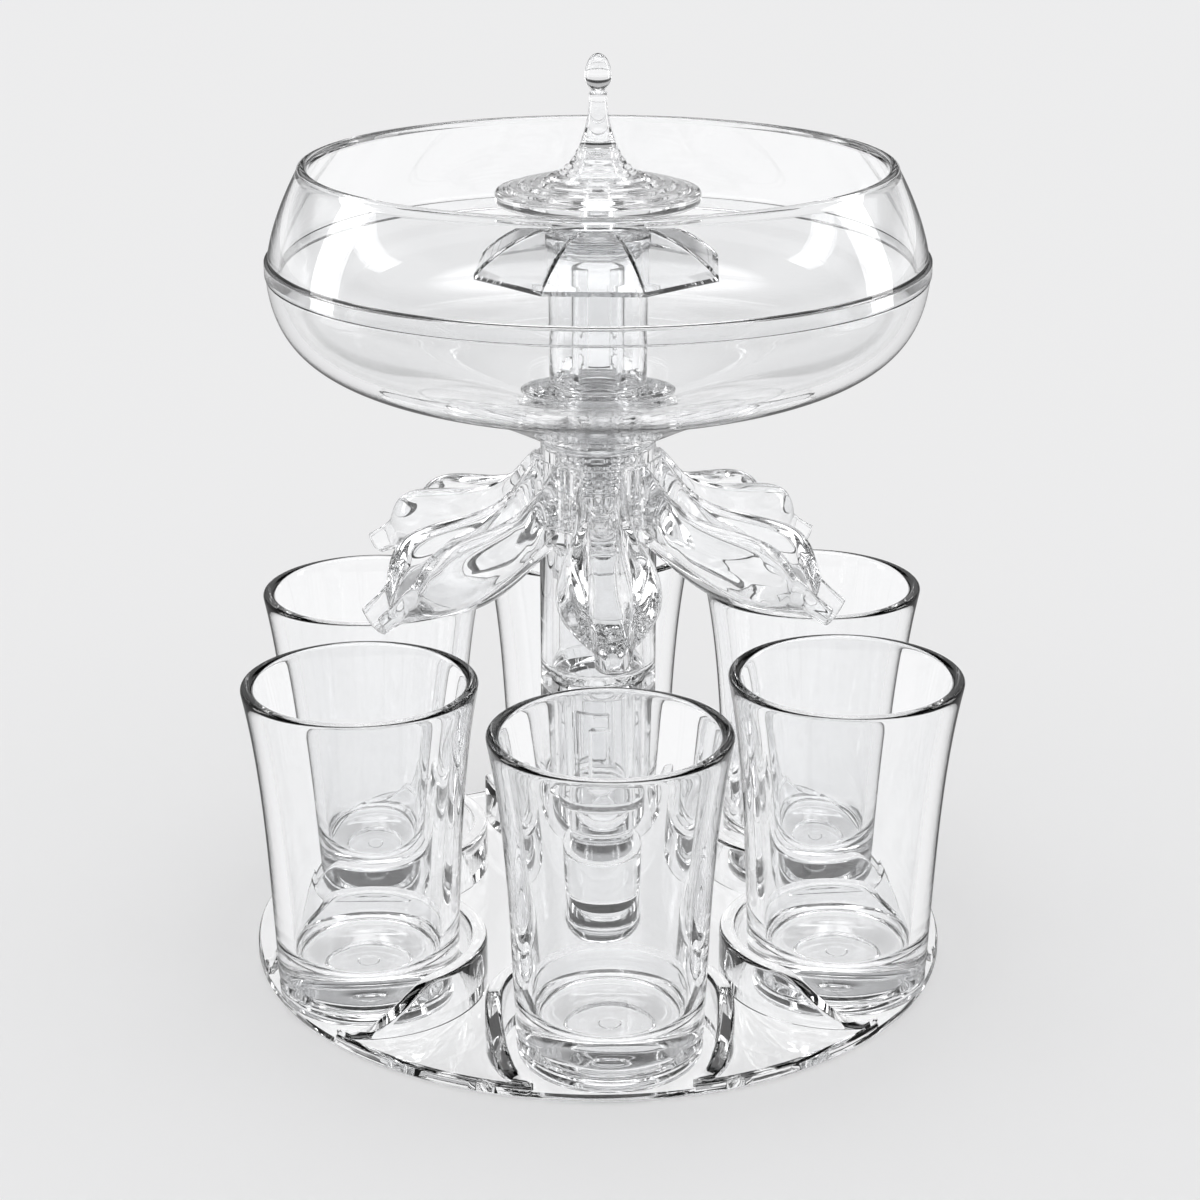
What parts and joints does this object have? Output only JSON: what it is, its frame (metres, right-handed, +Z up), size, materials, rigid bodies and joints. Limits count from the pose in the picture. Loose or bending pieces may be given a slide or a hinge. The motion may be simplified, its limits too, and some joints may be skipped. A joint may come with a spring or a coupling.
{
  "type": "party shot dispenser",
  "caption": "Clear table-top drinks dispenser: a bowl on a post pours through radial spout arms into a ring of shot glasses standing in a round tray, with a lift-out drop-handled stopper.",
  "frame": {"origin": "centre of the tray's underside, on the table", "axes": "+Z up along the column; -Y towards the front glass; +X to the right"},
  "size_m": [0.1548, 0.1678, 0.1985],
  "materials": {
    "clear_tray": "clear, polished",
    "clear_post": "clear, polished",
    "clear_hub": "clear, polished",
    "clear_arm": "clear, polished",
    "clear_bowl": "clear, polished",
    "clear_valve": "clear, polished",
    "clear_stopper": "clear, polished",
    "clear_glass": "clear, polished",
    "clear_seal": "translucent, satin"
  },
  "bodies": {
    "stand": {"tray": "clear_tray", "base_post": "clear_post"},
    "column": {"column": "clear_post"},
    "head": {"manifold_hub": "clear_hub", "spout_arm_1": "clear_arm", "spout_arm_2": "clear_arm", "spout_arm_3": "clear_arm", "spout_arm_4": "clear_arm", "spout_arm_5": "clear_arm", "spout_arm_6": "clear_arm", "neck_seal": "clear_seal", "bowl_lower": "clear_bowl", "bowl_upper": "clear_bowl", "bell_tube": "clear_valve", "flange_gasket": "clear_seal", "standpipe": "clear_valve"},
    "stopper": {"drop_stopper": "clear_stopper", "umbrella_baffle": "clear_valve", "stopper_plug": "clear_stopper", "stopper_ring": "clear_seal"},
    "glass_1": {"shot_glass_1": "clear_glass"},
    "glass_2": {"shot_glass_2": "clear_glass"},
    "glass_3": {"shot_glass_3": "clear_glass"},
    "glass_4": {"shot_glass_4": "clear_glass"},
    "glass_5": {"shot_glass_5": "clear_glass"},
    "glass_6": {"shot_glass_6": "clear_glass"}
  },
  "joints": [
    {"name": "column_twist", "type": "hinge", "parent": "stand", "child": "column", "pos_m": [0, 0, 0.061], "axis": [0, 0, 1], "range_deg": [0, 30]},
    {"name": "head_swivel", "type": "hinge", "parent": "column", "child": "head", "pos_m": [0, 0, 0.095], "axis": [0, 0, 1], "continuous": true},
    {"name": "stopper_lift", "type": "slide", "parent": "head", "child": "stopper", "axis": [0, 0, 1], "range_m": [0, 0.045]},
    {"name": "glass_draw_1", "type": "slide", "parent": "stand", "child": "glass_1", "axis": [0, -0.9348, 0.3552], "range_m": [0, 0.066]},
    {"name": "glass_draw_2", "type": "slide", "parent": "stand", "child": "glass_2", "axis": [0.8095, -0.4674, 0.3552], "range_m": [0, 0.066]},
    {"name": "glass_draw_3", "type": "slide", "parent": "stand", "child": "glass_3", "axis": [0.8095, 0.4674, 0.3552], "range_m": [0, 0.066]},
    {"name": "glass_draw_4", "type": "slide", "parent": "stand", "child": "glass_4", "axis": [0, 0.9348, 0.3552], "range_m": [0, 0.066]},
    {"name": "glass_draw_5", "type": "slide", "parent": "stand", "child": "glass_5", "axis": [-0.8095, 0.4674, 0.3552], "range_m": [0, 0.066]},
    {"name": "glass_draw_6", "type": "slide", "parent": "stand", "child": "glass_6", "axis": [-0.8095, -0.4674, 0.3552], "range_m": [0, 0.066]}
  ]
}
